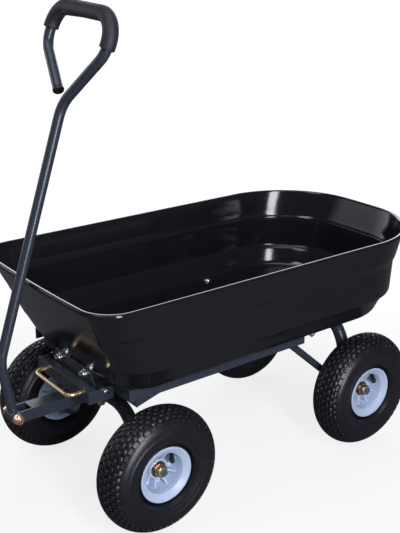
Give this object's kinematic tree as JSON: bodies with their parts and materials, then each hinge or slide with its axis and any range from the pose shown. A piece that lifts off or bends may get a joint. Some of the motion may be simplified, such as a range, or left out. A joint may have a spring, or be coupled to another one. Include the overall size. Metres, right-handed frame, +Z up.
{
  "type": "tipping dump cart",
  "caption": "Garden cart with a stepped moulded tub that tips on a tubular steel chassis, pneumatic wheels, a steered front axle, a swinging pull handle and a sprung latch.",
  "frame": {"origin": "on the ground under the middle of the cart's overall length, on its centre plane", "axes": "+X forward towards the pull handle, +Y to the cart's left, +Z up"},
  "size_m": [0.9772, 0.496, 0.9842],
  "materials": {
    "tub_plastic": "glossy moulded",
    "powder_coated_steel": "semi-gloss powder coat",
    "zinc_steel": "bright zinc plate",
    "yellow_zinc_steel": "yellow zinc plate",
    "spring_steel": "bright drawn wire",
    "tyre_rubber": "matt moulded",
    "rim_plastic": "satin moulded",
    "grip_rubber": "matt foam rubber",
    "cap_plastic": "satin moulded"
  },
  "bodies": {
    "frame": {"side_rail_left": "powder_coated_steel", "side_rail_right": "powder_coated_steel", "front_bolster": "powder_coated_steel", "rear_crossbar": "powder_coated_steel", "hoop_stay_left": "powder_coated_steel", "hoop_stay_right": "powder_coated_steel", "rear_hoop": "powder_coated_steel", "brace_left": "powder_coated_steel", "brace_right": "powder_coated_steel", "rear_stub_axles": "zinc_steel", "rear_axle_nuts": "yellow_zinc_steel", "king_boss": "powder_coated_steel", "king_pin": "zinc_steel", "king_nut": "yellow_zinc_steel", "latch_channel": "powder_coated_steel", "latch_bolts": "zinc_steel", "bail_springs": "spring_steel"},
    "tub": {"tub": "tub_plastic", "tub_cross_strap": "powder_coated_steel", "tub_carriage_bolts": "zinc_steel", "tub_hanger": "powder_coated_steel", "catch_plate": "powder_coated_steel", "catch_bolts": "zinc_steel", "hinge_strap_left": "powder_coated_steel", "hinge_strap_right": "powder_coated_steel"},
    "steering": {"front_hoop": "powder_coated_steel", "tongue": "powder_coated_steel", "tongue_bolt": "yellow_zinc_steel", "tongue_nut": "yellow_zinc_steel", "front_stub_axles": "zinc_steel", "front_axle_nuts": "yellow_zinc_steel"},
    "handle": {"handle_tube": "powder_coated_steel", "handle_bush": "powder_coated_steel", "handle_grip": "grip_rubber", "handle_end_cap": "cap_plastic"},
    "bail": {"bail": "yellow_zinc_steel", "bail_collars": "zinc_steel"},
    "wheel_front_left": {"front_left_tyre": "tyre_rubber", "front_left_rim": "rim_plastic", "front_left_bearings": "zinc_steel", "front_left_valve": "tyre_rubber"},
    "wheel_front_right": {"front_right_tyre": "tyre_rubber", "front_right_rim": "rim_plastic", "front_right_bearings": "zinc_steel", "front_right_valve": "tyre_rubber"},
    "wheel_rear_left": {"rear_left_tyre": "tyre_rubber", "rear_left_rim": "rim_plastic", "rear_left_bearings": "zinc_steel", "rear_left_valve": "tyre_rubber"},
    "wheel_rear_right": {"rear_right_tyre": "tyre_rubber", "rear_right_rim": "rim_plastic", "rear_right_bearings": "zinc_steel", "rear_right_valve": "tyre_rubber"}
  },
  "joints": [
    {"name": "tub_tip", "type": "hinge", "parent": "frame", "child": "tub", "pos_m": [-0.29372, 0, 0.279], "axis": [0, -1, 0], "range_deg": [0, 60]},
    {"name": "steer", "type": "hinge", "parent": "frame", "child": "steering", "pos_m": [0.26528, 0, 0.233], "axis": [0, 0, 1], "range_deg": [-12, 12]},
    {"name": "handle_swing", "type": "hinge", "parent": "steering", "child": "handle", "pos_m": [0.46128, 0, 0.221], "axis": [0, 1, 0], "range_deg": [0, 105]},
    {"name": "bail_pull", "type": "slide", "parent": "frame", "child": "bail", "axis": [1, 0, 0], "range_m": [0, 0.011], "stiffness_N_per_m": 900, "springref_m": -0.008, "deforming": ["bail_springs"]},
    {"name": "front_left_spin", "type": "hinge", "parent": "steering", "child": "wheel_front_left", "pos_m": [0.26528, 0.2035, 0.13], "axis": [0, 1, 0], "continuous": true},
    {"name": "front_right_spin", "type": "hinge", "parent": "steering", "child": "wheel_front_right", "pos_m": [0.26528, -0.2035, 0.13], "axis": [0, 1, 0], "continuous": true},
    {"name": "rear_left_spin", "type": "hinge", "parent": "frame", "child": "wheel_rear_left", "pos_m": [-0.29372, 0.2035, 0.13], "axis": [0, 1, 0], "continuous": true},
    {"name": "rear_right_spin", "type": "hinge", "parent": "frame", "child": "wheel_rear_right", "pos_m": [-0.29372, -0.2035, 0.13], "axis": [0, 1, 0], "continuous": true}
  ]
}
